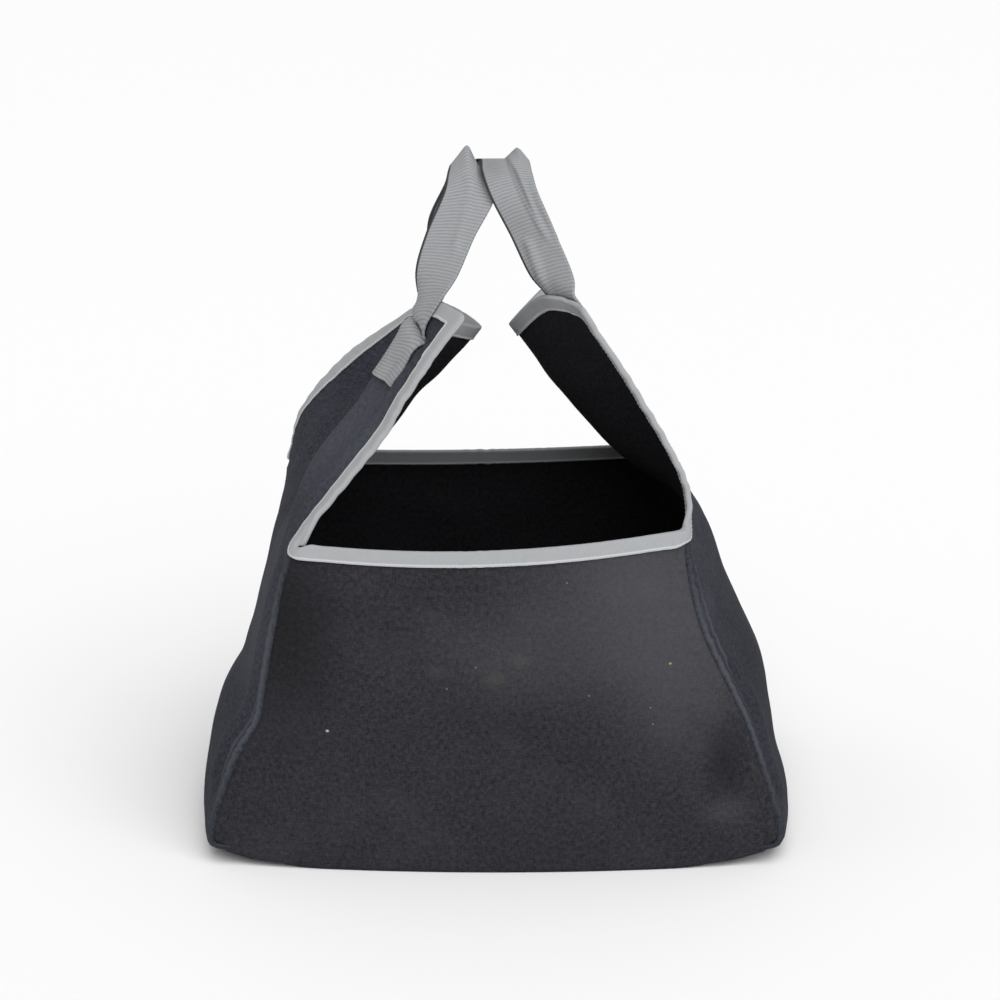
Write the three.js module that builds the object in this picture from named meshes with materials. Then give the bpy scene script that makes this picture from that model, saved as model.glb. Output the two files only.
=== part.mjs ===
import * as THREE from 'three';

// A canvas log carrier that stands open on its base: a long sling of black canvas, two end panels
// sewn into its sides, grey tape bound round the whole opening, and two grey webbing handles.
// Millimetres, +Z up, the front panel at -Y, the underside of the base on Z = 0.

// Cloth, tape and webbing
const CANVAS = 1.6;
const TAPE = 1.0;
const TAPE_WIDTH = 12.5;
const WEBBING = 2;
const WEBBING_WIDTH = 40;
const SEAM_GAP = 0.3;
const TAPE_GAP = 0.4;
const TAPE_END_GAP = 0.7;
const WEBBING_GAP = 0.6;

// Sling, base and end panels
const SHEET_DEPTH = 300;
const SEAM_Y = SHEET_DEPTH / 2;
const BASE_FLAT = 203;
const BASE_FOOT_BOW = 17;
const BASE_BOW = 16;
const BASE_STEPS = 8;
const CORNER_LIFT = 12;
const CORNER_POWER = 8;
const LIFTED_BELOW = 60;
const PANEL_TOP = { frontLeft: 253, frontRight: 264, backLeft: 252, backRight: 257 };
const PANEL_TOP_SAG = 7;
const PANEL_FOOT_SHARE = 0.4;
const FOLDS_START = { from: 0.15, to: 0.4 };
const FOLDS_END = { from: 0.85, to: 0.965 };
const FOLDS_SIDE = 4;

// Handles: spacing of the two tails on a flap
const TAIL_SPACING = 200;

// Walls of the sling, one row per height: half width at the front seam, how much further out the left
// wall is at the back seam, and how far each wall bows out half-way between the seams.
const WALL_ROWS = [
  { z: 245, left: 153, leftBack: 25, leftBow: 1, right: 143, rightBow: 17 },
  { z: 190, left: 167, leftBack: 14, leftBow: 12, right: 155, rightBow: 29 },
  { z: 140, left: 176, leftBack: 8, leftBow: 19, right: 178, rightBow: 29 },
  { z: 115, left: 181, leftBack: 5, leftBow: 23, right: 190, rightBow: 25 },
  { z: 88, left: 196.5, leftBack: 2, leftBow: 25.5, right: 200, rightBow: 20 },
  { z: 55, left: 209, leftBack: 0, leftBow: 22, right: 211, rightBow: 14 },
  { z: 20, left: 219, leftBack: 0, leftBow: 14.5, right: 219, rightBow: 14.5 },
  { z: 5, left: 217, leftBack: 0, leftBow: 13, right: 216, rightBow: 13 },
];

// Flaps, one row per station from the front edge to the back edge: both sides of each handle tail
// and the slack middle, which sags inwards because the handles draw the tails together.
const LEFT_FLAP = [
  { at: 'front edge', hip: [-120, -140, 288], mid: [-71, -128, 346], top: [-24, -113, 416] },
  { at: 'front tail, front side', hip: [-129, -106, 292], mid: [-84, -96, 352], top: [-39, -87, 421] },
  { at: 'front tail, back side', hip: [-141, -68, 294], mid: [-98, -61, 352], top: [-60, -56, 412] },
  { at: 'slack middle', hip: [-102, 2, 288], mid: [-54, 3, 341], top: [-14, 5, 388] },
  { at: 'back tail, front side', hip: [-143, 68, 290], mid: [-84, 58, 333], top: [-38, 47, 396] },
  { at: 'back tail, back side', hip: [-157, 106, 290], mid: [-96, 96, 331], top: [-54, 86, 387] },
  { at: 'back edge', hip: [-165, 142, 288], mid: [-125, 129, 339], top: [-69, 112, 382] },
];
const RIGHT_FLAP = [
  { at: 'front edge', hip: [142, -140, 293], mid: [113, -128, 348], top: [66, -113, 422] },
  { at: 'front tail, front side', hip: [139, -107, 293], mid: [106, -99, 351], top: [59, -90, 424] },
  { at: 'front tail, back side', hip: [134, -69, 292], mid: [93, -63, 350], top: [36, -62, 423] },
  { at: 'slack middle', hip: [98, -2, 287], mid: [53, -3, 336], top: [12, -4, 392] },
  { at: 'back tail, front side', hip: [119, 68, 292], mid: [84, 58, 347], top: [38, 48, 410] },
  { at: 'back tail, back side', hip: [124, 106, 294], mid: [92, 96, 348], top: [46, 86, 406] },
  { at: 'back edge', hip: [124, 140, 292], mid: [92, 128, 346], top: [50, 113, 400] },
];

// End panels: how far a panel bows out past its seams, by share of its height
const PANEL_BOW = [
  { height: 0, bow: BASE_BOW },
  { height: 0.35, bow: 20 },
  { height: 0.7, bow: 18 },
  { height: 1, bow: 14 },
];

// Pull folds and dents of the end panels: a ridge or hollow along a line from one x, z to another
const FRONT_FOLDS = [
  { from: [-96, 232], to: [70, 105], width: 24, rise: 2.6 },
  { from: [-110, 185], to: [45, 78], width: 26, rise: -2.2 },
  { from: [5, 232], to: [110, 150], width: 24, rise: 2.2 },
  { from: [160, 100], to: [192, 40], width: 20, rise: -4 },
];
const BACK_FOLDS = [
  { from: [-80, 228], to: [40, 110], width: 26, rise: -2.2 },
  { from: [90, 225], to: [-60, 95], width: 24, rise: 2.2 },
];

// Handles: the free part of one leg, from the flap to the top of the loop. The webbing lies flat on
// the flap at turn 0 and faces the end panel at turn 90, and reaches out to its left and its right edge.
// Towards the top it is creased lengthwise, and the crease, at a share of its width, stands up by the
// crown. The back leg is shifted sideways. The front tail is shorter on its inner side by its skew, a
// share, where the top edge of the flap slopes under it.
const LEFT_LOOP = {
  legs: [
    { x: -45, y: -65, z: 441, turn: 50, left: 20, right: 20, crown: 0 },
    { x: -35, y: -46, z: 467, turn: 66, left: 20, right: 20, crown: 0 },
    { x: -20, y: -29, z: 498, turn: 80, left: 20, right: 20, crown: 3 },
    { x: -20, y: -14, z: 508, turn: 85, left: 17, right: 12, crown: 11 },
  ],
  top: { x: -21, y: 0, z: 514, turn: 90, left: 14, right: 8, crown: 16 },
  crease: -0.1,
  spread: 0.9,
  backShift: 0,
  frontSkew: 0.2,
};
const RIGHT_LOOP = {
  legs: [
    { x: 43, y: -72, z: 440, turn: 58, left: 20, right: 18, crown: 0 },
    { x: 28, y: -58, z: 470, turn: 62, left: 20, right: 20, crown: 0 },
    { x: 14, y: -45, z: 498, turn: 72, left: 20, right: 20, crown: 0 },
    { x: 8, y: -26, z: 513, turn: 82, left: 19.5, right: 19.5, crown: 4 },
  ],
  top: { x: 6, y: 0, z: 519, turn: 90, left: 18.5, right: 18.5, crown: 9 },
  crease: 0.6,
  spread: 0.4,
  backShift: -7,
  frontSkew: 0,
};

const TAPE_LIP = TAPE_END_GAP + TAPE;
const TAPE_SLOT = CANVAS / 2 + TAPE_GAP;
const TAPE_FACE = TAPE_SLOT + TAPE;
const PANEL_OFFSET = SEAM_GAP + CANVAS / 2;

// A handle tail lies on the canvas at its end and climbs over the tape at the top of the flap.
const LIFT_ON_CANVAS = CANVAS / 2 + WEBBING_GAP + WEBBING / 2;
const LIFT_OVER_TAPE = TAPE_FACE + WEBBING_GAP + WEBBING / 2;
const TAIL_ROWS = [
  { down: 72, lift: LIFT_ON_CANVAS },
  { down: 48, lift: LIFT_ON_CANVAS },
  { down: 28, lift: LIFT_ON_CANVAS },
  { down: 14, lift: LIFT_OVER_TAPE },
  { down: 2, lift: LIFT_OVER_TAPE },
  { down: -5, lift: LIFT_OVER_TAPE },
];

const arch = (share) => 1 - (2 * share - 1) ** 2;
const mix = (a, b, share) => a + (b - a) * share;
const { clamp, degToRad, smoothstep } = THREE.MathUtils;

// Where the stations of a flap lie across the sling, as shares of its depth
const TAIL_HALF = WEBBING_WIDTH / 2 / SHEET_DEPTH;
const FRONT_TAIL = 0.5 - TAIL_SPACING / 2 / SHEET_DEPTH;
const BACK_TAIL = 1 - FRONT_TAIL;
const STATIONS = [
  0,
  FRONT_TAIL - TAIL_HALF,
  FRONT_TAIL + TAIL_HALF,
  0.5,
  BACK_TAIL - TAIL_HALF,
  BACK_TAIL + TAIL_HALF,
  1,
];

function levelCurve(rows, level) {
  const points = rows.map((row) => new THREE.Vector3(...row[level]));
  return new THREE.CatmullRomCurve3(points, false, 'centripetal');
}

function stationShare(depth) {
  const last = STATIONS.length - 1;
  const found = STATIONS.findIndex((station, i) => i > 0 && depth <= station);
  const next = found < 0 ? last : found;
  const share = (depth - STATIONS[next - 1]) / (STATIONS[next] - STATIONS[next - 1]);
  return (next - 1 + share) / last;
}

const LEVELS = ['top', 'mid', 'hip'];
const leftLevels = LEVELS.map((level) => levelCurve(LEFT_FLAP, level));
const rightLevels = LEVELS.map((level) => levelCurve(RIGHT_FLAP, level)).toReversed();

// The line that the sling follows at one depth: down the left flap and wall, along the base, and up
// the right wall and flap. A place on it is counted in control points from the left top edge.
function slingLine(depth) {
  const station = stationShare(depth);
  const across = 2 * depth - 1;
  const lift = CORNER_LIFT * across ** CORNER_POWER;
  const wall = (row, side, half, bow) => {
    const z = row.z + lift * Math.max(0, 1 - row.z / LIFTED_BELOW);
    return new THREE.Vector3(side * (half + bow * arch(depth)), across * SEAM_Y, z);
  };
  const base = (share) => {
    const x = share * (BASE_FLAT + BASE_FOOT_BOW * arch(depth));
    const y = across * (SEAM_Y + BASE_BOW * (1 - share ** 2));
    return new THREE.Vector3(x, y, CANVAS / 2 + lift * share ** CORNER_POWER);
  };
  const points = [
    ...leftLevels.map((curve) => curve.getPoint(station)),
    ...WALL_ROWS.map((row) => wall(row, -1, row.left + row.leftBack * depth, row.leftBow)),
    ...Array.from({ length: BASE_STEPS + 1 }, (_, i) => base((2 * i) / BASE_STEPS - 1)),
    ...WALL_ROWS.toReversed().map((row) => wall(row, 1, row.right, row.rightBow)),
    ...rightLevels.map((curve) => curve.getPoint(station)),
  ];
  return new THREE.CatmullRomCurve3(points, false, 'centripetal');
}

const HIP = LEVELS.length - 1;
const FOOT_LEFT = LEVELS.length + WALL_ROWS.length;
const FOOT_RIGHT = FOOT_LEFT + BASE_STEPS;
const LAST = FOOT_LEFT + FOOT_RIGHT;
const slingLines = new Map();

function pointOnLine(along, depth) {
  if (!slingLines.has(depth)) {
    slingLines.set(depth, slingLine(depth));
  }
  const point = slingLines.get(depth).getPoint(along / LAST);
  point.z = Math.max(point.z, CANVAS / 2);
  return point;
}

// A point of the sling's middle surface, carried on in a straight line past its edges
const PROBE = 0.004;
function slingPoint(along, depth) {
  const inAlong = clamp(along, 0, LAST);
  const inDepth = clamp(depth, 0, 1);
  const point = pointOnLine(inAlong, inDepth);
  if (along !== inAlong) {
    const step = Math.sign(inAlong - along) * PROBE;
    const inner = pointOnLine(inAlong + step, inDepth);
    point.addScaledVector(inner.sub(point), (along - inAlong) / step);
  }
  if (depth !== inDepth) {
    const step = Math.sign(inDepth - depth) * PROBE;
    const edge = pointOnLine(inAlong, inDepth);
    const inner = pointOnLine(inAlong, inDepth + step);
    point.addScaledVector(inner.sub(edge), (depth - inDepth) / step);
  }
  return point;
}

function surfaceFrame(pointAt, a, b) {
  const alongA = pointAt(a + PROBE, b).sub(pointAt(a - PROBE, b));
  const alongB = pointAt(a, b + PROBE).sub(pointAt(a, b - PROBE));
  return { point: pointAt(a, b), normal: alongB.cross(alongA).normalize() };
}

// The sling's edges are cut square to the panels, so its face there looks along X and Z alone.
function slingFrame(along, depth) {
  const frame = surfaceFrame(slingPoint, along, depth);
  if (depth <= 0 || depth >= 1) {
    frame.normal.setY(0).normalize();
  }
  return frame;
}

function alongPerMm(along, depth) {
  return (2 * PROBE) / slingPoint(along + PROBE, depth).distanceTo(slingPoint(along - PROBE, depth));
}

function depthPerMm(along, depth) {
  return (2 * PROBE) / slingPoint(along, depth + PROBE).distanceTo(slingPoint(along, depth - PROBE));
}

// Where the edge of the sling passes a height, between the top wall row and the flap's hip
function alongAtHeight(depth, height, wallEnd, hipEnd) {
  let low = wallEnd;
  let high = hipEnd;
  for (let i = 0; i < 40; i += 1) {
    const middle = (low + high) / 2;
    if (slingPoint(middle, depth).z < height) {
      low = middle;
    } else {
      high = middle;
    }
  }
  return (low + high) / 2;
}

function valueAt(rows, key, column, share) {
  const found = rows.findIndex((row, i) => i > 0 && share <= row[key]);
  const next = found < 0 ? rows.length - 1 : found;
  const from = rows[next - 1];
  const to = rows[next];
  const local = clamp((share - from[key]) / (to[key] - from[key]), 0, 1);
  return mix(from[column], to[column], smoothstep(local, 0, 1));
}

function foldRise(folds, x, z) {
  const place = new THREE.Vector3(x, 0, z);
  const nearest = new THREE.Vector3();
  return folds.reduce((sum, fold) => {
    const from = new THREE.Vector3(fold.from[0], 0, fold.from[1]);
    const line = new THREE.Line3(from, new THREE.Vector3(fold.to[0], 0, fold.to[1]));
    const away = line.closestPointToPoint(place, true, nearest).distanceTo(place);
    return sum + fold.rise * Math.exp(-((away / fold.width) ** 2));
  }, 0);
}

// Each end panel covers the edges of the sling and ends flush with its outer face. From outside, the
// first side is on the viewer's left.
const FRONT = {
  depth: 0,
  outward: -1,
  folds: FRONT_FOLDS,
  first: { foot: FOOT_LEFT, top: alongAtHeight(0, PANEL_TOP.frontLeft, HIP + 1, HIP) },
  second: { foot: FOOT_RIGHT, top: alongAtHeight(0, PANEL_TOP.frontRight, LAST - HIP - 1, LAST - HIP) },
};
const BACK = {
  depth: 1,
  outward: 1,
  folds: BACK_FOLDS,
  first: { foot: FOOT_RIGHT, top: alongAtHeight(1, PANEL_TOP.backRight, LAST - HIP - 1, LAST - HIP) },
  second: { foot: FOOT_LEFT, top: alongAtHeight(1, PANEL_TOP.backLeft, HIP + 1, HIP) },
};

function panelPoint(panel, height, across) {
  const [first, second] = [panel.first, panel.second].map((side) => {
    const { point, normal } = slingFrame(mix(side.foot, side.top, height), panel.depth);
    return point.addScaledVector(normal, CANVAS / 2);
  });
  const point = first.lerp(second, across);
  const spread = arch(across);
  const started = smoothstep(height, FOLDS_START.from, FOLDS_START.to);
  const ended = smoothstep(height, FOLDS_END.from, FOLDS_END.to);
  const shown = (started - ended) * Math.min(1, FOLDS_SIDE * spread);
  const fold = shown * foldRise(panel.folds, point.x, point.z);
  const footDrop = 1 - smoothstep(height, 0, PANEL_FOOT_SHARE);
  const bow = valueAt(PANEL_BOW, 'height', 'bow', height) * spread;
  point.y += panel.outward * (PANEL_OFFSET + bow + fold);
  point.z -= PANEL_TOP_SAG * spread * Math.max(0, height) ** 3;
  point.z -= CORNER_LIFT * (1 - (2 * across - 1) ** CORNER_POWER) * footDrop;
  return point;
}

function panelFrame(panel, height, across) {
  return surfaceFrame((a, b) => panelPoint(panel, a, b), height, across);
}

// Solids from grids and loops of points
function signedVolume(vertices, triangles) {
  let volume = 0;
  for (let i = 0; i < triangles.length; i += 3) {
    const [a, b, c] = [0, 1, 2].map((k) => vertices[triangles[i + k]]);
    volume += a.dot(b.clone().cross(c)) / 6;
  }
  return volume;
}

function solid(name, { vertices, triangles }, finish) {
  const geometry = new THREE.BufferGeometry().setFromPoints(vertices);
  const inverted = signedVolume(vertices, triangles) < 0;
  geometry.setIndex(inverted ? triangles.toReversed() : triangles);
  geometry.computeVertexNormals();
  const mesh = new THREE.Mesh(geometry, new THREE.MeshStandardMaterial(finish));
  mesh.name = name;
  return mesh;
}

function quad(triangles, a, b, c, d) {
  triangles.push(a, b, c, a, c, d);
}

// A wall of even thickness about a grid of surface frames, flat where it meets the ground
function shell(grid, thickness) {
  const rows = grid.length;
  const columns = grid[0].length;
  const layer = (side) =>
    grid.flat().map(({ point, normal }) => {
      const vertex = point.clone().addScaledVector(normal, (side * thickness) / 2);
      return vertex.setZ(Math.max(vertex.z, 0));
    });
  const vertices = [...layer(1), ...layer(-1)];
  const inner = rows * columns;
  const index = (i, j) => i * columns + j;
  const triangles = [];
  for (let i = 0; i < rows - 1; i += 1) {
    for (let j = 0; j < columns - 1; j += 1) {
      const cell = [index(i, j), index(i, j + 1), index(i + 1, j + 1), index(i + 1, j)];
      quad(triangles, ...cell);
      quad(triangles, ...cell.toReversed().map((k) => k + inner));
    }
  }
  const rim = [
    ...Array.from({ length: columns - 1 }, (_, j) => index(0, j)),
    ...Array.from({ length: rows - 1 }, (_, i) => index(i, columns - 1)),
    ...Array.from({ length: columns - 1 }, (_, j) => index(rows - 1, columns - 1 - j)),
    ...Array.from({ length: rows - 1 }, (_, i) => index(rows - 1 - i, 0)),
  ];
  rim.forEach((k, i) => {
    const next = rim[(i + 1) % rim.length];
    quad(triangles, next, k, k + inner, next + inner);
  });
  return { vertices, triangles };
}

function closedSweep(sections) {
  const size = sections[0].length;
  const triangles = [];
  sections.forEach((_, i) => {
    const next = (i + 1) % sections.length;
    for (let j = 0; j < size; j += 1) {
      const after = (j + 1) % size;
      quad(triangles, i * size + j, i * size + after, next * size + after, next * size + j);
    }
  });
  return { vertices: sections.flat(), triangles };
}

// The sling
const WEBBING_LINES = [-1, -0.5, 0, 0.5, 1];
const FLAP_GRID = [0, 0.065, 0.13, 0.3, 0.5, 0.75, 1, 1.33, 1.67, 2, 2.25, 2.5, 2.75, 2.88];
const SHOULDER_GRID = [3, 3.12, 3.25, 3.5];
const WALL_GRID = Array.from({ length: LAST - 2 * HIP - 3 }, (_, i) => HIP + 2 + i);
const SIDE_GRID = [...FLAP_GRID, ...SHOULDER_GRID];
const ALONG_GRID = [...SIDE_GRID, ...WALL_GRID, ...SIDE_GRID.map((along) => LAST - along).toReversed()];
const TAIL_GRID = WEBBING_LINES.map((share) => FRONT_TAIL + share * TAIL_HALF);
const HALF_DEPTH_GRID = [0, 0.02, 0.045, ...TAIL_GRID, 0.3, 0.37, 0.44];
const DEPTH_GRID = [...HALF_DEPTH_GRID, 0.5, ...HALF_DEPTH_GRID.map((depth) => 1 - depth).toReversed()];

function mainSheet() {
  return shell(ALONG_GRID.map((along) => DEPTH_GRID.map((depth) => slingFrame(along, depth))), CANVAS);
}

// The end panels
const PANEL_ROWS = [0, 0.06, 0.12, 0.18, 0.25, 0.37, 0.49, 0.61, 0.73, 0.85, 0.93, 0.971, 0.9855, 1];
const PANEL_COLUMNS = 14;

function endPanel(panel) {
  const across = Array.from({ length: PANEL_COLUMNS + 1 }, (_, i) => i / PANEL_COLUMNS);
  const grid = PANEL_ROWS.map((height) => across.map((share) => panelFrame(panel, height, share)));
  return shell(grid, CANVAS);
}

// The edge tape: a folded strip that takes the cloth between its two leaves, as a section is drawn
// at one place of the edge. The place gives the cloth at a distance in from that edge.
function tapeSection(clothAt) {
  const deep = TAPE_WIDTH - TAPE_LIP;
  const place = (height) => (inward) => {
    const { point, normal } = clothAt(inward);
    return point.clone().addScaledVector(normal, height);
  };
  return [
    ...[deep, deep / 2, -TAPE_LIP].map(place(TAPE_FACE)),
    ...[-TAPE_LIP, deep / 2, deep].map(place(-TAPE_FACE)),
    ...[deep, deep / 2, -TAPE_END_GAP].map(place(-TAPE_SLOT)),
    ...[-TAPE_END_GAP, deep / 2, deep].map(place(TAPE_SLOT)),
  ];
}

const CORNER_FAN = [
  { turn: 30, rise: 1.5 },
  { turn: 60, rise: 3 },
  { turn: 90, rise: 5 },
];
const PANEL_TAPE_STEPS = 14;
const PANEL_TAPE_MARGIN = 0.025;
const TAPE_CLEAR = TAPE_WIDTH + 3;

function panelTape(panel) {
  return Array.from({ length: PANEL_TAPE_STEPS + 1 }, (_, i) => {
    const across = mix(1 - PANEL_TAPE_MARGIN, PANEL_TAPE_MARGIN, i / PANEL_TAPE_STEPS);
    const perMm = PROBE / panelPoint(panel, 1, across).distanceTo(panelPoint(panel, 1 - PROBE, across));
    return tapeSection((inward) => panelFrame(panel, 1 - inward * perMm, across));
  });
}

// Where a panel's top meets the edge of a flap, the tape is mitred across the seam and fans out on
// the flap, from the seam's line to the edge's inner side.
function cornerTape(panel, side, down) {
  const perAlong = down * alongPerMm(side.top, panel.depth);
  const perDepth = -panel.outward * depthPerMm(side.top, panel.depth);
  const panelNormal = new THREE.Vector3(0, panel.outward, 0);
  const mitre = tapeSection((inward) => {
    const { point, normal } = slingFrame(side.top + inward * perAlong, panel.depth);
    return { point: point.addScaledVector(panelNormal, PANEL_OFFSET), normal: normal.add(panelNormal) };
  });
  const fan = CORNER_FAN.map(({ turn, rise }) => {
    const angle = degToRad(turn);
    return tapeSection((inward) =>
      slingFrame(
        side.top + (inward * Math.cos(angle) - rise) * perAlong,
        panel.depth + inward * Math.sin(angle) * perDepth,
      ),
    );
  });
  return [mitre, ...fan];
}

// One upright edge of a flap, from its corner at the panel to the free corner at its top
function flapEdgeTape(depth, seamTop, topEdge) {
  const inwards = Math.sign(0.5 - depth);
  const first = seamTop + (Math.sign(topEdge - seamTop) * TAPE_CLEAR) * alongPerMm(seamTop, depth);
  const last = topEdge - (Math.sign(topEdge - seamTop) * TAPE_CLEAR) * alongPerMm(topEdge, depth);
  const between = ALONG_GRID.filter((along) => (along - first) * (along - last) < 0);
  const upwards = topEdge > seamTop ? between : between.toReversed();
  return [first, ...upwards, last].map((along) =>
    tapeSection((inward) => slingFrame(along, depth + inwards * inward * depthPerMm(along, depth))),
  );
}

function flapCornerTape(depth, topEdge, down) {
  const perAlong = down * alongPerMm(topEdge, depth);
  const perDepth = Math.sign(0.5 - depth) * depthPerMm(topEdge, depth);
  return tapeSection((inward) => slingFrame(topEdge + inward * perAlong, depth + inward * perDepth));
}

function flapTopTape(topEdge, down, fromDepth) {
  const ends = [0, 1].map((depth) => {
    const margin = TAPE_CLEAR * depthPerMm(topEdge, depth);
    return depth === 0 ? margin : 1 - margin;
  });
  const between = DEPTH_GRID.filter((depth) => depth > ends[0] && depth < ends[1]);
  const depths = [ends[0], ...between, ends[1]];
  return (fromDepth === 0 ? depths : depths.toReversed()).map((depth) =>
    tapeSection((inward) => slingFrame(topEdge + inward * down * alongPerMm(topEdge, depth), depth)),
  );
}

// Half of the loop: along the top of one panel, up a flap's near edge, along its top and down again
function halfTape(panel, flap, nextPanel) {
  const near = panel.depth;
  const far = nextPanel.depth;
  return [
    ...panelTape(panel),
    ...cornerTape(panel, panel.first, flap.down),
    ...flapEdgeTape(near, panel.first.top, flap.topEdge),
    flapCornerTape(near, flap.topEdge, flap.down),
    ...flapTopTape(flap.topEdge, flap.down, near),
    flapCornerTape(far, flap.topEdge, flap.down),
    ...flapEdgeTape(far, nextPanel.second.top, flap.topEdge).toReversed(),
    ...cornerTape(nextPanel, nextPanel.second, flap.down).toReversed(),
  ];
}

const LEFT = { topEdge: 0, down: 1 };
const RIGHT = { topEdge: LAST, down: -1 };

function edgeTape() {
  return closedSweep([...halfTape(FRONT, LEFT, BACK), ...halfTape(BACK, RIGHT, FRONT)]);
}

// A handle: lines of webbing side by side, each from the front tail over the loop to the back tail
const HANDLE_STEPS = 40;

function tailPoint(flap, middle, outwards, skew, share, row) {
  const depth = middle + outwards * share * TAIL_HALF;
  const down = row.down * (1 - skew * (1 - share) / 2);
  const along = flap.topEdge + flap.down * down * alongPerMm(flap.topEdge, depth);
  const { point, normal } = slingFrame(along, depth);
  return point.addScaledVector(normal, row.lift);
}

function legPoint(loop, leg, end, share) {
  const turn = degToRad(leg.turn);
  const reach = share * (share < 0 ? leg.left : leg.right);
  const shift = end < 0 ? loop.backShift : 0;
  const crown = leg.crown * Math.max(0, 1 - Math.abs(share - loop.crease) / loop.spread);
  return new THREE.Vector3(
    leg.x + shift + reach * Math.sin(turn),
    end * (leg.y - reach * Math.cos(turn)),
    leg.z + crown,
  );
}

function handle(loop, flap) {
  const lines = WEBBING_LINES.map((share) => {
    const front = [
      ...TAIL_ROWS.map((row) => tailPoint(flap, FRONT_TAIL, -1, loop.frontSkew, share, row)),
      ...loop.legs.map((leg) => legPoint(loop, leg, 1, share)),
    ];
    const top = legPoint(loop, loop.top, 1, share);
    const back = [
      ...loop.legs.toReversed().map((leg) => legPoint(loop, leg, -1, share)),
      ...TAIL_ROWS.toReversed().map((row) => tailPoint(flap, BACK_TAIL, 1, 0, share, row)),
    ];
    const line = new THREE.CatmullRomCurve3([...front, top, ...back], false, 'centripetal');
    return line.getPoints(HANDLE_STEPS);
  });
  const grid = lines[0].map((_, i) =>
    lines.map((line, j) => {
      const alongLine = line[Math.min(i + 1, HANDLE_STEPS)].clone().sub(line[Math.max(i - 1, 0)]);
      const beside = lines[Math.min(j + 1, lines.length - 1)][i].clone().sub(lines[Math.max(j - 1, 0)][i]);
      return { point: line[i], normal: alongLine.cross(beside).normalize() };
    }),
  );
  return shell(grid, WEBBING);
}

const canvasFinish = { color: '#2a2c31', roughness: 0.9, metalness: 0 };
const tapeFinish = { color: '#a6a6a6', roughness: 0.8, metalness: 0 };
const webbingFinish = { color: '#8e8e8e', roughness: 0.75, metalness: 0 };

const carrier = new THREE.Group();
carrier.add(solid('main_sheet', mainSheet(), canvasFinish));
carrier.add(solid('front_panel', endPanel(FRONT), canvasFinish));
carrier.add(solid('back_panel', endPanel(BACK), canvasFinish));
carrier.add(solid('edge_tape', edgeTape(), tapeFinish));
carrier.add(solid('handle_left', handle(LEFT_LOOP, LEFT), webbingFinish));
carrier.add(solid('handle_right', handle(RIGHT_LOOP, RIGHT), webbingFinish));

export default carrier;
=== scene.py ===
import math

import bmesh
import bpy
import numpy as np
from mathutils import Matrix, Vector, noise


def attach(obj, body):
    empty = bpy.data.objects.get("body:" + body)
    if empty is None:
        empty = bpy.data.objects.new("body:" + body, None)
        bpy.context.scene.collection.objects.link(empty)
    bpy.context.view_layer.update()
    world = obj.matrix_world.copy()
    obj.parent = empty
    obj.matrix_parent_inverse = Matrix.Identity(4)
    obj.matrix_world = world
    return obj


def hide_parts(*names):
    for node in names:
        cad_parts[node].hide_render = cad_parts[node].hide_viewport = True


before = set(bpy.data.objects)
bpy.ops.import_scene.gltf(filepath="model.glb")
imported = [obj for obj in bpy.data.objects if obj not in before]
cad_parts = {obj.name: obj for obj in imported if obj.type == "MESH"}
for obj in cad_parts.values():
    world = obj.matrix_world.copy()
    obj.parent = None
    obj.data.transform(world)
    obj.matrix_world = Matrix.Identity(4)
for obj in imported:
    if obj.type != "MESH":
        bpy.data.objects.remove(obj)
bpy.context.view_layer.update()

# The sling
# One long strip of heavy black cotton canvas makes the left flap, left wall, base, right wall and right
# flap. The handles draw its ends together, so the slack middle of each flap sags between the tails.
MM = 0.001
CANVAS = 1.6
SHEET_DEPTH = 300.0
SEAM_Y = SHEET_DEPTH / 2
BASE_FLAT = 203.0
BASE_FOOT_BOW = 17.0
BASE_BOW = 16.0
BASE_STEPS = 8
CORNER_LIFT = 12.0
CORNER_POWER = 8
LIFTED_BELOW = 60.0
WALL_ROWS = [
    dict(z=245, left=153, left_back=25, left_bow=1, right=143, right_bow=17),
    dict(z=190, left=167, left_back=14, left_bow=12, right=155, right_bow=29),
    dict(z=140, left=176, left_back=8, left_bow=19, right=178, right_bow=29),
    dict(z=115, left=181, left_back=5, left_bow=23, right=190, right_bow=25),
    dict(z=88, left=196.5, left_back=2, left_bow=25.5, right=200, right_bow=20),
    dict(z=55, left=209, left_back=0, left_bow=22, right=211, right_bow=14),
    dict(z=20, left=219, left_back=0, left_bow=14.5, right=219, right_bow=14.5),
    dict(z=5, left=217, left_back=0, left_bow=13, right=216, right_bow=13),
]
LEFT_FLAP = [
    dict(at="front edge", hip=(-120, -140, 288), mid=(-71, -128, 346), top=(-24, -113, 416)),
    dict(at="front tail, front side", hip=(-129, -106, 292), mid=(-84, -96, 352), top=(-39, -87, 421)),
    dict(at="front tail, back side", hip=(-141, -68, 294), mid=(-98, -61, 352), top=(-60, -56, 412)),
    dict(at="slack middle", hip=(-102, 2, 288), mid=(-54, 3, 341), top=(-14, 5, 388)),
    dict(at="back tail, front side", hip=(-143, 68, 290), mid=(-84, 58, 333), top=(-38, 47, 396)),
    dict(at="back tail, back side", hip=(-157, 106, 290), mid=(-96, 96, 331), top=(-54, 86, 387)),
    dict(at="back edge", hip=(-165, 142, 288), mid=(-125, 129, 339), top=(-69, 112, 382)),
]
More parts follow.
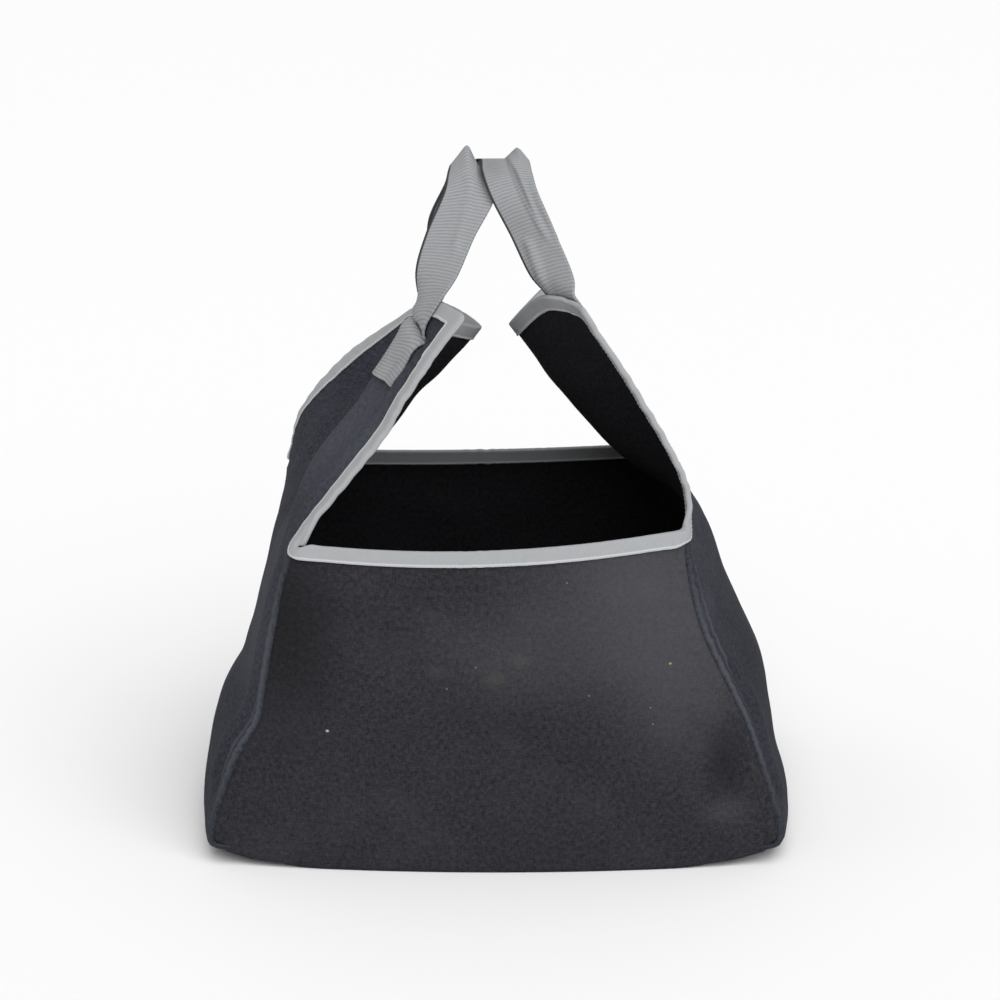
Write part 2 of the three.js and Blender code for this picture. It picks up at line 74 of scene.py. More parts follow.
RIGHT_FLAP = [
    dict(at="front edge", hip=(142, -140, 293), mid=(113, -128, 348), top=(66, -113, 422)),
    dict(at="front tail, front side", hip=(139, -107, 293), mid=(106, -99, 351), top=(59, -90, 424)),
    dict(at="front tail, back side", hip=(134, -69, 292), mid=(93, -63, 350), top=(36, -62, 423)),
    dict(at="slack middle", hip=(98, -2, 287), mid=(53, -3, 336), top=(12, -4, 392)),
    dict(at="back tail, front side", hip=(119, 68, 292), mid=(84, 58, 347), top=(38, 48, 410)),
    dict(at="back tail, back side", hip=(124, 106, 294), mid=(92, 96, 348), top=(46, 86, 406)),
    dict(at="back edge", hip=(124, 140, 292), mid=(92, 128, 346), top=(50, 113, 400)),
]
WEBBING_WIDTH = 40.0
TAIL_SPACING = 200.0
TAIL_HALF = WEBBING_WIDTH / 2 / SHEET_DEPTH
FRONT_TAIL = 0.5 - TAIL_SPACING / 2 / SHEET_DEPTH
BACK_TAIL = 1 - FRONT_TAIL
STATIONS = [0, FRONT_TAIL - TAIL_HALF, FRONT_TAIL + TAIL_HALF, 0.5]
STATIONS += [1 - share for share in STATIONS[-2::-1]]
LEVELS = ["top", "mid", "hip"]
HIP = len(LEVELS) - 1
FOOT_LEFT = len(LEVELS) + len(WALL_ROWS)
FOOT_RIGHT = FOOT_LEFT + BASE_STEPS
LAST = FOOT_LEFT + FOOT_RIGHT
PROBE = 0.004

# Folds of the flaps: ridges and hollows along a line, by distance down from the top edge and distance
# back from the front edge, in millimetres of cloth. FLAP_DOWN is that distance at each control point, and
# below the last of them each one is WALL_STEP further down.
FLAP_DOWN = [0, 87, 159, 205, 262, 314]
WALL_STEP = 40.0
HALF_SLING = 700.0
FLAP_FOLDS = [
    dict(side=-1, start=(4, 70), end=(34, 27), width=4.5, rise=-7.0),
    dict(side=-1, start=(36, 24), end=(78, 31), width=4, rise=-3.5),
    dict(side=-1, start=(38, 15), end=(78, 25), width=5, rise=3.5),
    dict(side=-1, start=(34, -4), end=(74, -4), width=24, rise=4.5),
    dict(side=-1, start=(78, 31), end=(118, 28), width=7, rise=-4.0),
    dict(side=-1, start=(-10, 226), end=(26, 232), width=16, rise=7.0),
    dict(side=-1, start=(88, 22), end=(190, 24), width=7, rise=4.0),
    dict(side=-1, start=(82, 80), end=(112, 200), width=16, rise=1.8),
    dict(side=-1, start=(66, 190), end=(92, 262), width=15, rise=-2.4),
    dict(side=-1, start=(120, 60), end=(215, 66), width=18, rise=2.2),
    dict(side=-1, start=(135, 120), end=(225, 132), width=22, rise=-2.2),
    dict(side=-1, start=(60, 46), end=(200, 50), width=10, rise=-3.0),
    dict(side=-1, start=(200, 31), end=(430, 36), width=9, rise=2.8),
    dict(side=-1, start=(215, 19), end=(440, 19), width=6, rise=-2.2),
    dict(side=1, start=(330, 32), end=(440, 32), width=9, rise=2.6),
    dict(side=1, start=(300, 18), end=(440, 18), width=6, rise=-2.2),
    dict(side=1, start=(75, 50), end=(190, 62), width=14, rise=2.4),
    dict(side=1, start=(90, 245), end=(195, 228), width=16, rise=2.2),
]


def spline(points, places):
    """Centripetal Catmull-Rom points at places counted in control points: one curve, or one a place."""
    first = np.clip(np.floor(places).astype(int), 0, len(points) - 2)
    share = (places - first)[:, None]
    ends = np.concatenate([2 * points[:1] - points[1:2], points, 2 * points[-1:] - points[-2:-1]])
    curve = np.arange(len(places)) % points.shape[1]
    p0, p1, p2, p3 = (ends[first + k, curve] for k in range(4))
    d0, d1, d2 = (
        np.maximum(np.linalg.norm(b - a, axis=1, keepdims=True), 1e-6) ** 0.5
        for a, b in ((p0, p1), (p1, p2), (p2, p3))
    )
    leave = ((p1 - p0) / d0 - (p2 - p0) / (d0 + d1) + (p2 - p1) / d1) * d1
    arrive = ((p2 - p1) / d1 - (p3 - p1) / (d1 + d2) + (p3 - p2) / d2) * d1
    square = 3 * (p2 - p1) - 2 * leave - arrive
    cube = 2 * (p1 - p2) + leave + arrive
    return p1 + share * (leave + share * (square + share * cube))


def sling_lines(depth):
    """Control points of the sling at each share of its depth, from the left top edge to the right one."""
    station = np.interp(depth, STATIONS, range(len(STATIONS)))
    across = 2 * depth - 1
    arch = 1 - across**2
    lift = CORNER_LIFT * across**CORNER_POWER
    flaps = [
        [spline(np.array([row[level] for row in rows], float)[:, None], station) for level in LEVELS]
        for rows in (LEFT_FLAP, RIGHT_FLAP)
    ]
    walls = [[], []]
    for row in WALL_ROWS:
        z = row["z"] + lift * max(0, 1 - row["z"] / LIFTED_BELOW)
        left = -(row["left"] + row["left_back"] * depth + row["left_bow"] * arch)
        right = row["right"] + row["right_bow"] * arch
        for wall, x in zip(walls, (left, right)):
            wall.append(np.stack([x, across * SEAM_Y, z], -1))
    base = []
    for share in np.linspace(-1, 1, BASE_STEPS + 1):
        x = share * (BASE_FLAT + BASE_FOOT_BOW * arch)
        y = across * (SEAM_Y + BASE_BOW * (1 - share**2))
        base.append(np.stack([x, y, CANVAS / 2 + lift * share**CORNER_POWER], -1))
    return np.stack([*flaps[0], *walls[0], *base, *walls[1][::-1], *flaps[1][::-1]])


def sling_on_line(along, depth):
    point = spline(sling_lines(depth), along)
    point[:, 2] = np.maximum(point[:, 2], CANVAS / 2)
    return point


def sling_cut(along, depth):
    """The sling's middle before it wrinkles, carried straight on past its edges."""
    in_along = np.clip(along, 0, LAST)
    in_depth = np.clip(depth, 0, 1)
    point = sling_on_line(in_along, in_depth)
    past = point.copy()
    if np.any(along != in_along):
        step = np.where(in_along > LAST / 2, -PROBE, PROBE)
        slope = (sling_on_line(in_along + step, in_depth) - point) / step[:, None]
        past += slope * (along - in_along)[:, None]
    if np.any(depth != in_depth):
        step = np.where(in_depth > 0.5, -PROBE, PROBE)
        slope = (sling_on_line(in_along, in_depth + step) - point) / step[:, None]
        past += slope * (depth - in_depth)[:, None]
    return past


def unit(vectors):
    return vectors / np.linalg.norm(vectors, axis=-1, keepdims=True)


def frames(surface, a, b):
    """Points of a surface with its outward normals."""
    along = surface(a + PROBE, b) - surface(a - PROBE, b)
    beside = surface(a, b + PROBE) - surface(a, b - PROBE)
    return surface(a, b), unit(np.cross(beside, along))


def smooth(value, low, high):
    share = np.clip((value - low) / (high - low), 0, 1)
    return share * share * (3 - 2 * share)


def ripple(x, y, size, seed):
    """Soft noise from -1 to 1 on flat cloth, whose swells are about one size across."""
    return np.array([noise.noise((a / size, b / size, seed * 7.7)) for a, b in zip(x, y)])


def ridge(x, y, fold):
    """How far one fold lifts the cloth at flat places x, y."""
    (x0, y0), (x1, y1) = fold["start"], fold["end"]
    length = (x1 - x0) ** 2 + (y1 - y0) ** 2
    share = np.clip(((x - x0) * (x1 - x0) + (y - y0) * (y1 - y0)) / length, 0, 1)
    away = np.hypot(x - x0 - share * (x1 - x0), y - y0 - share * (y1 - y0))
    return fold["rise"] * np.exp(-((away / fold["width"]) ** 2))


# At the side seams the walls turn round the corner to the front and back, so each seam lies in a groove
# beside a rounded shoulder, and the thread draws small puckers into it. The base ends in a lip outside.
SEAM_TURN = 7.5
SEAM_RADIUS = 11.0
SEAM_INSET = 0.6
BASE_LIP = 1.0
CORNER_LIP = 4.0
SEAM_CALM = 14.0
TURN_ROUND = 0.96
SEWN_FROM = HIP + 0.25
SEWN_FULL = HIP + 0.95
GROUND_FROM = FOOT_LEFT - 2
GROUND_FULL = FOOT_LEFT - 0.3
SWELLS = [dict(size=80, rise=2.2, seed=1), dict(size=30, rise=0.7, seed=2)]
PUCKER = dict(pitch=13.0, reach=7.0, rise=0.5)
WAVER = dict(size=34, rise=2, seed=3)
HEM_WAVE = dict(pitch=17.0, reach=10.0, rise=0.35, waver=1.5, start=20.0, full=70.0)


def sewn_share(from_end):
    """From 0 on a flap's free edge to 1 where the sling is sewn to a panel."""
    return smooth(from_end, SEWN_FROM, SEWN_FULL)


def puckers(along_seam, to_edge, waver):
    """Small tucks that a seam's thread draws into the cloth beside it."""
    near = to_edge / PUCKER["reach"]
    wave = np.sin(2 * np.pi * along_seam / PUCKER["pitch"] + waver)
    return PUCKER["rise"] * wave * near * np.exp(1 - near)


def sling_rise(along, depth):
    """Folds, seam grooves and wrinkles of the sling, outwards."""
    from_end = np.minimum(along, LAST - along)
    side = np.where(along < LAST / 2, -1, 1)
    below_flap = np.maximum(0, from_end - len(FLAP_DOWN) + 1)
    down = np.interp(from_end, range(len(FLAP_DOWN)), FLAP_DOWN) + WALL_STEP * below_flap
    back = np.clip(depth, 0, 1) * SHEET_DEPTH
    flat_along = side * (HALF_SLING - down)
    to_edge = np.minimum(back, SHEET_DEPTH - back)
    sewn = sewn_share(from_end)
    grounded = smooth(from_end, GROUND_FROM, GROUND_FULL)
    folds = sum(np.where(side == fold["side"], ridge(down, back, fold), 0) for fold in FLAP_FOLDS)
    swell = sum(row["rise"] * ripple(flat_along, back, row["size"], row["seed"]) for row in SWELLS)
    held = 1 - sewn * (1 - smooth(to_edge, 0, SEAM_CALM))
    turned = np.clip(1 - to_edge / SEAM_RADIUS, 0, 1)
    groove = -SEAM_TURN * (1 - np.sqrt(1 - TURN_ROUND * turned**2)) * sewn
    waver = WAVER["rise"] * ripple(flat_along, back, WAVER["size"], WAVER["seed"])
    hem = HEM_WAVE["rise"] * np.sin(2 * np.pi * down / HEM_WAVE["pitch"] + HEM_WAVE["waver"] * waver)
    hem *= np.exp(-to_edge / HEM_WAVE["reach"]) * (1 - sewn)
    hem *= smooth(down, HEM_WAVE["start"], HEM_WAVE["full"])
    drawn = groove + puckers(down, to_edge, waver) * sewn + hem
    return ((folds + swell) * held + drawn) * (1 - grounded)


def sling(along, depth):
    point, normal = frames(sling_cut, along, depth)
    return point + normal * sling_rise(along, depth)[:, None]


def sling_frames(along, depth):
    """The sling with its outward normals, which are square to the panels at its cut edges."""
    point, normal = frames(sling, along, depth)
    normal[(depth <= 0) | (depth >= 1), 1] = 0
    return point, unit(normal)


LIP_FROM = FOOT_LEFT - 1.4
LIP_FULL = FOOT_LEFT - 0.4
CORNER_PAST = FOOT_LEFT + 1


def edge_inset(along):
    """How far in from its cut line the sling ends at the seams, in millimetres: the base ends past it."""
    from_end = np.minimum(along, LAST - along)
    to_base = smooth(from_end, LIP_FROM, LIP_FULL)
    corner = 1 - smooth(from_end, LIP_FULL, CORNER_PAST)
    return SEAM_INSET * sewn_share(from_end) * (1 - to_base) - (BASE_LIP + CORNER_LIP * corner) * to_base


def cloth_grid(rows, columns):
    """A flat grid of squares, with each corner's shares along its rows and columns."""
    made = bmesh.new()
    bmesh.ops.create_grid(made, x_segments=rows, y_segments=columns, size=0.5)
    shares = np.array([corner.co[:2] for corner in made.verts]) + 0.5
    return made, shares[:, 0], shares[:, 1]


def lay_out(made, points, across, along):
    """Moves a grid's corners to points in millimetres, and keeps their places on the flat cloth."""
    flat = made.loops.layers.uv.new("flat")
    made.verts.index_update()
    for corner, point in zip(made.verts, points):
        corner.co = point * MM
    bmesh.ops.reverse_faces(made, faces=made.faces)
    for face in made.faces:
        face.smooth = True
        for loop in face.loops:
            loop[flat].uv = (across[loop.vert.index] * MM, along[loop.vert.index] * MM)


def new_piece(name, made, slot, *finishes):
    """A piece of its own at the origin, in its finishes, riding on the carrier."""
    mesh = bpy.data.meshes.new(name)
    made.to_mesh(mesh)
    made.free()
    for finish in finishes:
        mesh.materials.append(finish)
    piece = bpy.data.objects.new(name, mesh)
    bpy.context.scene.collection.objects.link(piece)
    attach(piece, "root")
    return piece


def thicken(piece, thickness, inside=0):
    """Gives a cloth its thickness about its middle, with its inner face in the finish of that number."""
    wall = piece.modifiers.new("thickness", "SOLIDIFY")
    wall.thickness = thickness * MM
    wall.offset = 0
    wall.material_offset = inside


def colour(code):
    """An sRGB hex code as the linear colour that a shader takes."""
    parts = [int(code[i : i + 2], 16) / 255 for i in (1, 3, 5)]
    return (*[c / 12.92 if c <= 0.04045 else ((c + 0.055) / 1.055) ** 2.4 for c in parts], 1.0)


def add_node(tree, kind, links=None, inputs=None, **settings):
    """One shader node with its settings, its constant inputs and the sockets that feed it."""
    made = tree.nodes.new("ShaderNode" + kind)
    for key, value in settings.items():
        setattr(made, key, value)
    for key, value in (inputs or {}).items():
        made.inputs[key].default_value = value
    for key, socket in (links or {}).items():
        tree.links.new(socket, made.inputs[key])
    return made


# Cotton duck, dyed black and worn: matte, with a dry nap that catches a little grey light, cloudy fading,
# rubbed places and a few chips stuck to it. Its real yarn of about 0.7 mm is too fine to show, so each
# yarn is drawn 1.1 mm wide, in uneven lengths that fade into each other both ways of the cloth. The nap
# is drawn in tufts, and the fading in clouds, of these sizes.
YARN_WIDE = 1.1
YARN_LONG = 4.0
NAP = 3.846
CLOUD = 71.43
MIX_A, MIX_B, MIX_OUT = 6, 7, 2


def spotted(tree, flat, base, marks):
    """A colour with soft or sharp marks on it, each at a place on the flat cloth in millimetres."""
    for mark in marks:
        (x, y), (wide, high) = mark["at"], mark["size"]
        place = {"Location": (x * MM, y * MM, 0), "Scale": (wide * MM, high * MM, 1)}
        place["Rotation"] = (0, 0, math.radians(mark.get("turn", 0)))
        local = add_node(tree, "Mapping", {"Vector": flat}, place, vector_type="TEXTURE").outputs["Vector"]
        away = add_node(tree, "VectorMath", {0: local}, operation="LENGTH").outputs["Value"]
        fade = {"From Min": 1.0, "From Max": mark["core"], "To Max": mark["cover"]}
        soft = dict(interpolation_type="SMOOTHSTEP")
        cover = add_node(tree, "MapRange", {"Value": away}, fade, **soft).outputs["Result"]
        tint = {MIX_B: colour(mark["tint"])}
        base = add_node(tree, "Mix", {0: cover, MIX_A: base}, tint, data_type="RGBA").outputs[MIX_OUT]
    return base


def new_finish(name, roughness):
    """A material of this roughness, with its nodes and its shader."""
    finish = bpy.data.materials.new(name)
    finish.use_nodes = True
    shader = finish.node_tree.nodes["Principled BSDF"]
    shader.inputs["Roughness"].default_value = roughness
    return finish, finish.node_tree, shader


def black_canvas(name, dark, light, dust, marks):
    finish, tree, shader = new_finish(name, roughness=0.92)
    shader.inputs["Specular IOR Level"].default_value = 0.12
    flat = add_node(tree, "UVMap", uv_map="flat").outputs["UV"]
    yarns = []
    for wide, high in ((YARN_WIDE, YARN_LONG), (YARN_LONG, YARN_WIDE)):
        run = {"Scale": (1 / (wide * MM), 1 / (high * MM), 1)}
        lain = add_node(tree, "Mapping", {"Vector": flat}, run).outputs["Vector"]
        spun = {"Scale": 1.0, "Detail": 3.0}
        yarns.append(add_node(tree, "TexNoise", {"Vector": lain}, spun).outputs["Fac"])
    crossed = add_node(tree, "Math", {0: yarns[0], 1: yarns[1]}, operation="ADD").outputs[0]
    tufts = {"Scale": 1 / (NAP * MM), "Detail": 4.0}
    nap = add_node(tree, "TexNoise", {"Vector": flat}, tufts).outputs["Fac"]
    grain = add_node(tree, "Math", {0: crossed, 1: nap}, operation="ADD").outputs[0]
    span = {"From Min": 1.1, "From Max": 1.9}
    lit = add_node(tree, "MapRange", {"Value": grain}, span).outputs["Result"]
    tints = {MIX_A: colour(dark), MIX_B: colour(light)}
    cloth = add_node(tree, "Mix", {0: lit}, tints, data_type="RGBA").outputs[MIX_OUT]
    cloud = {"Scale": 1 / (CLOUD * MM), "Detail": 8.0, "Roughness": 0.7}
    worn = add_node(tree, "TexNoise", {"Vector": flat}, cloud).outputs["Fac"]
    span = {"From Min": 0.48, "From Max": 0.8, "To Max": 0.35}
    rubbed = add_node(tree, "MapRange", {"Value": worn}, span).outputs["Result"]
    dusty = {MIX_B: colour(dust)}
    cloth = add_node(tree, "Mix", {0: rubbed, MIX_A: cloth}, dusty, data_type="RGBA").outputs[MIX_OUT]
    cloth = spotted(tree, flat, cloth, marks)
    relief = {"Strength": 0.5, "Distance": 0.5 * MM}
    bump = add_node(tree, "Bump", {"Height": grain}, relief).outputs["Normal"]
    tree.links.new(cloth, shader.inputs["Base Color"])
    tree.links.new(bump, shader.inputs["Normal"])
    return finish


def lengths_along(points):
    """How far each point of a line is from its start."""
    return np.concatenate([[0], np.cumsum(np.linalg.norm(np.diff(points, axis=0), axis=1))])


SLING_STEP = 3.6
SLING_SAMPLES = 900
EDGE_DENSE = 0.6
sample_along = np.linspace(0, LAST, SLING_SAMPLES)
sling_reach = lengths_along(sling_cut(sample_along, np.full(SLING_SAMPLES, FRONT_TAIL)))
sling_length = sling_reach[-1]
# The canvas is paler on the left flap and high on the left wall, has painted highlights on the ridges
# beside the seams, and has painted shade in the seams and low on the walls.
PALE_AND_HIGHLIGHT = dict(tint="#666870", core=0.0)
SHADED = dict(tint="#141417", core=0.0)
SLING_PAINTED_LIGHT_AND_PALE = [
    dict(PALE_AND_HIGHLIGHT, at=(60, 110), size=(150, 120), cover=0.26),
    dict(PALE_AND_HIGHLIGHT, at=(60, 270), size=(150, 100), cover=0.14),
    # painted shade low on the walls
    dict(SHADED, at=(70, sling_length - 380), size=(110, 230), cover=0.42),
    dict(SHADED, at=(80, 420), size=(110, 90), cover=0.34),
    # painted highlights on the ridges beside the seams
    dict(PALE_AND_HIGHLIGHT, at=(6, 330), size=(4.5, 170), cover=0.38),
    dict(PALE_AND_HIGHLIGHT, at=(19, 365), size=(4, 80), cover=0.34),
    dict(PALE_AND_HIGHLIGHT, at=(5, sling_length - 320), size=(3.5, 165), cover=0.36),
    dict(PALE_AND_HIGHLIGHT, at=(15, sling_length - 290), size=(4, 120), cover=0.3),
    # painted shade in the seam grooves
    dict(SHADED, at=(0, 330), size=(3, 190), cover=0.8),
    dict(SHADED, at=(0, sling_length - 330), size=(3, 190), cover=0.8),
]
sling_canvas = black_canvas("black_cotton_duck", "#1e1f25", "#3f414a", "#545762", SLING_PAINTED_LIGHT_AND_PALE)
# The inside is the same canvas painted darker, as painted shade inside the carrier.
shaded_inner_canvas = black_canvas("black_cotton_duck_inside_painted_shade", "#141416", "#28282c", "#2e2e33", [])
sling_rows = round(sling_length / SLING_STEP)
made, along_share, depth_share = cloth_grid(sling_rows, round(SHEET_DEPTH / SLING_STEP))
sling_along = np.interp(along_share * sling_length, sling_reach, sample_along)
inset = edge_inset(sling_along) / SHEET_DEPTH
to_edges = depth_share - EDGE_DENSE * np.sin(2 * np.pi * depth_share) / (2 * np.pi)
sling_depth = inset + to_edges * (1 - 2 * inset)
lay_out(made, sling(sling_along, sling_depth), sling_depth * SHEET_DEPTH, along_share * sling_length)
main_sheet = new_piece("sling", made, "canvas", sling_canvas, shaded_inner_canvas)
thicken(main_sheet, CANVAS, inside=1)
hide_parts("main_sheet")

# The end panels
# Two trapezoids of the same canvas close the front and the back. Each is sewn along its sides and foot
# to the edges of the sling, and pulls into soft diagonal folds below its taped top.
SEAM_GAP = 0.3
PANEL_OFFSET = SEAM_GAP + CANVAS / 2
PANEL_TOP = dict(front_left=253, front_right=264, back_left=252, back_right=257)
PANEL_TOP_SAG = 7.0
PANEL_FOOT_SHARE = 0.4
PANEL_BOW = dict(height=[0, 0.35, 0.7, 1], bow=[BASE_BOW, 20, 18, 14])
PANEL_ROLL = 3.2
PANEL_SHOULDER = 7.0
SEAM_DRAWN = 4.1
PANEL_FOOT = 1.8
PANEL_WIDTH = 420.0
PANEL_STEP = 3.0
PANEL_SWELLS = [dict(size=60, rise=1.2, seed=0), dict(size=24, rise=0.5, seed=3)]
PANEL_WAVER_SEED = 5
CALM_AT_SIDES = (4, 34)
CALM_AT_FOOT = (6, 60)
UNDER_TAPE = (0.86, 0.96)
DRAWN_FROM = (0.02, 0.12)
FOOT_SHARE = 0.1
SIDE_SAMPLES = 400
LEVEL_SAMPLES = 200
FRONT_FOLDS = [
    dict(start=(-96, 236), end=(2, 141), width=24, rise=2.8),
    dict(start=(2, 141), end=(72, 104), width=22, rise=2.0),
    dict(start=(-118, 190), end=(45, 78), width=26, rise=-2.4),
    dict(start=(2, 234), end=(50, 192), width=16, rise=2.2),
    dict(start=(60, 232), end=(112, 150), width=24, rise=1.8),
    dict(start=(76, 200), end=(158, 118), width=44, rise=2.2),
    dict(start=(160, 100), end=(192, 44), width=16, rise=-4.0),
    dict(start=(150, 40), end=(178, 30), width=15, rise=2.4),
    dict(start=(-190, 60), end=(-120, 26), width=20, rise=1.8),
    dict(start=(-168, 118), end=(-140, 236), width=8, rise=2.6),
    dict(start=(-128, 236), end=(-150, 150), width=9, rise=-1.6),
    dict(start=(130, 236), end=(158, 130), width=9, rise=1.8),
]
BACK_FOLDS = [
    dict(start=(-80, 228), end=(40, 110), width=26, rise=-2.2),
    dict(start=(90, 225), end=(-60, 95), width=24, rise=2.2),
    dict(start=(130, 210), end=(170, 90), width=20, rise=2.0),
    dict(start=(-160, 90), end=(-80, 40), width=24, rise=1.8),
]


def along_at_height(depth, height, wall_end, hip_end):
    """Where an edge of the sling passes a height between the top wall row and the flap's hip."""
    places = np.linspace(wall_end, hip_end, SIDE_SAMPLES)
    heights = sling_cut(places, np.full(SIDE_SAMPLES, float(depth)))[:, 2]
    return np.interp(height, heights, places)


def panel_side(depth, height_name, foot):
    ends = (HIP + 1, HIP) if foot == FOOT_LEFT else (LAST - HIP - 1, LAST - HIP)
    return dict(foot=foot, top=along_at_height(depth, PANEL_TOP[height_name], *ends))


FRONT = dict(depth=0.0, outward=-1, folds=FRONT_FOLDS, seed=11)
FRONT.update(first=panel_side(0, "front_left", FOOT_LEFT), second=panel_side(0, "front_right", FOOT_RIGHT))
BACK = dict(depth=1.0, outward=1, folds=BACK_FOLDS, seed=12)
BACK.update(first=panel_side(1, "back_right", FOOT_RIGHT), second=panel_side(1, "back_left", FOOT_LEFT))


def panel_cut(panel, height, across):
    """A panel's middle by shares of its height and of its width, from the viewer's left side outside."""
    sides = []
    for side in (panel["first"], panel["second"]):
        along = side["foot"] + (side["top"] - side["foot"]) * height
        point, normal = frames(sling_cut, along, np.full(len(along), panel["depth"]))
        normal[:, 1] = 0
        sides.append(point + unit(normal) * CANVAS / 2)
    point = sides[0] + (sides[1] - sides[0]) * across[:, None]
    spread = 1 - (2 * across - 1) ** 2
    rows = np.array(PANEL_BOW["height"])
    bows = np.array(PANEL_BOW["bow"], float)
    place = np.clip(np.searchsorted(rows, height) - 1, 0, len(rows) - 2)
    share = smooth((height - rows[place]) / (rows[place + 1] - rows[place]), 0, 1)
    bow = bows[place] + (bows[place + 1] - bows[place]) * share
    point[:, 1] += panel["outward"] * (PANEL_OFFSET + bow * spread)
    point[:, 2] -= PANEL_TOP_SAG * spread * np.maximum(0, height) ** 3
    foot_drop = 1 - smooth(height, 0, PANEL_FOOT_SHARE)
    point[:, 2] -= CORNER_LIFT * (1 - (2 * across - 1) ** CORNER_POWER) * foot_drop
    return point


def panel_cloth(panel, height, across):
    """The panel with its folds, its sides turned in to the seams and its foot above the base."""
    point = panel_cut(panel, height, across)
    x, z = point[:, 0], point[:, 2]
    width = np.interp(height, [0, 1], [2 * BASE_FLAT, 2 * WALL_ROWS[0]["left"]])
    to_side = np.minimum(across, 1 - across) * width
    under_tape = 1 - smooth(height, *UNDER_TAPE)
    panel_way = -panel["outward"]
    folds = sum(ridge(x, z, fold) for fold in panel["folds"])
    seed = panel["seed"]
    swell = sum(row["rise"] * ripple(x, z, row["size"], seed + row["seed"]) for row in PANEL_SWELLS)
    calm = smooth(to_side, *CALM_AT_SIDES) * smooth(z, *CALM_AT_FOOT)
    roll = -PANEL_ROLL * (1 - smooth(to_side, 0, PANEL_SHOULDER))
    waver = WAVER["rise"] * ripple(x, z, WAVER["size"], seed + PANEL_WAVER_SEED)
    lift = (folds + swell) * calm * under_tape + (roll + puckers(z, to_side, waver)) * under_tape
    point[:, 1] += panel["outward"] * lift
    point[:, 0] -= SEAM_DRAWN * (2 * across - 1) * panel_way * smooth(height, *DRAWN_FROM)
    point[:, 2] += PANEL_FOOT * (1 - smooth(height, 0, FOOT_SHARE))
    return point


# The front panel is painted lighter where it swells towards the light and painted darker as shade near its
# left side and low on its right, and has a pale mark, a few smudges and stuck chips.
PALE_AND_PAINTED_LIGHT = dict(tint="#606066", core=0.0)
SMUDGE = dict(tint="#55534b", core=0.0, size=(13, 9))
CHIP = dict(tint="#8b877e", core=0.2, size=(0.9, 0.9), cover=0.75)
FRONT_MARKS = [
    # painted light where the panel swells towards the light
    dict(PALE_AND_PAINTED_LIGHT, at=(125, 225), size=(150, 130), cover=0.35),
    dict(PALE_AND_PAINTED_LIGHT, at=(140, 140), size=(80, 90), cover=0.18),
    dict(PALE_AND_PAINTED_LIGHT, at=(10, 175), size=(120, 60), cover=0.15),
    # painted shade near the left side and low on the right
    dict(PALE_AND_PAINTED_LIGHT, at=(-160, 190), size=(60, 140), tint="#131315", cover=0.6),
    dict(PALE_AND_PAINTED_LIGHT, at=(176, 88), size=(24, 46), tint="#131315", cover=0.45),
    dict(PALE_AND_PAINTED_LIGHT, at=(178, 46), size=(34, 18), cover=0.14),
    dict(SMUDGE, at=(-1, 157), cover=0.24),
    dict(SMUDGE, at=(19, 170), cover=0.24),
    dict(SMUDGE, at=(-45, 161), cover=0.18),
    dict(CHIP, at=(54, 229)),
    dict(CHIP, at=(-15, 166)),
    dict(CHIP, at=(-37, 148)),
    dict(CHIP, at=(71, 142)),
    dict(CHIP, at=(-129, 112), size=(1.9, 1.4), tint="#c9c5bb"),
    dict(CHIP, at=(133, 165), size=(1.7, 1.2), tint="#b39a72"),
    dict(CHIP, at=(118, 132)),
    dict(CHIP, at=(120, 119)),
]
BACK_MARKS = [dict(PALE_AND_PAINTED_LIGHT, at=(-60, 190), size=(140, 90), cover=0.2), dict(CHIP, at=(40, 120))]
PANEL_BLACKS = ("#1b1b1f", "#37373c", "#45444a")
FRONT.update(finish=black_canvas("black_cotton_duck_front_painted_light", *PANEL_BLACKS, FRONT_MARKS))
BACK.update(finish=black_canvas("black_cotton_duck_rubbed", *PANEL_BLACKS, BACK_MARKS))


def end_panel(name, node, panel):
    levels = np.linspace(0, 1, LEVEL_SAMPLES)
    rise = panel_cut(panel, levels, np.full(LEVEL_SAMPLES, 0.5))[:, 2]
    rows = round(PANEL_TOP["front_right"] / PANEL_STEP)
    made, share, across = cloth_grid(rows, round(PANEL_WIDTH / PANEL_STEP))
    height = np.interp(rise[0] + share * (rise[-1] - rise[0]), rise, levels)
    flat = panel_cut(panel, height, across)
    lay_out(made, panel_cloth(panel, height, across), flat[:, 0], flat[:, 2])
    piece = new_piece(name, made, "canvas", panel["finish"], shaded_inner_canvas)
    thicken(piece, CANVAS, inside=1)
    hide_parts(node)


end_panel("front_end", "front_panel", FRONT)
end_panel("back_end", "back_panel", BACK)

# The edge tape
# One length of grey cotton tape is folded over the raw edge of the whole opening and sewn through both
# leaves. It runs along the panel tops and round the flaps, puckers in patches, and overlaps its end.
TAPE = 1.0
TAPE_WIDTH = 12.5
TAPE_GAP = 0.4
TAPE_END_GAP = 0.7
TAPE_LIP = TAPE_END_GAP + TAPE
TAPE_SLOT = CANVAS / 2 + TAPE_GAP
TAPE_FACE = TAPE_SLOT + TAPE
TAPE_DEEP = TAPE_WIDTH - TAPE_LIP
TAPE_CLEAR = TAPE_WIDTH + 3
TAPE_STEP = 1.6
PANEL_SECTIONS = 29
PANEL_SPAN = (0.975, 0.025)
EDGE_SECTIONS = 46
TOP_SECTIONS = 31
CORNER_FAN = [(30, 1.5), (60, 3.0), (90, 5.0)]
CORNER_ROUND = 0.72

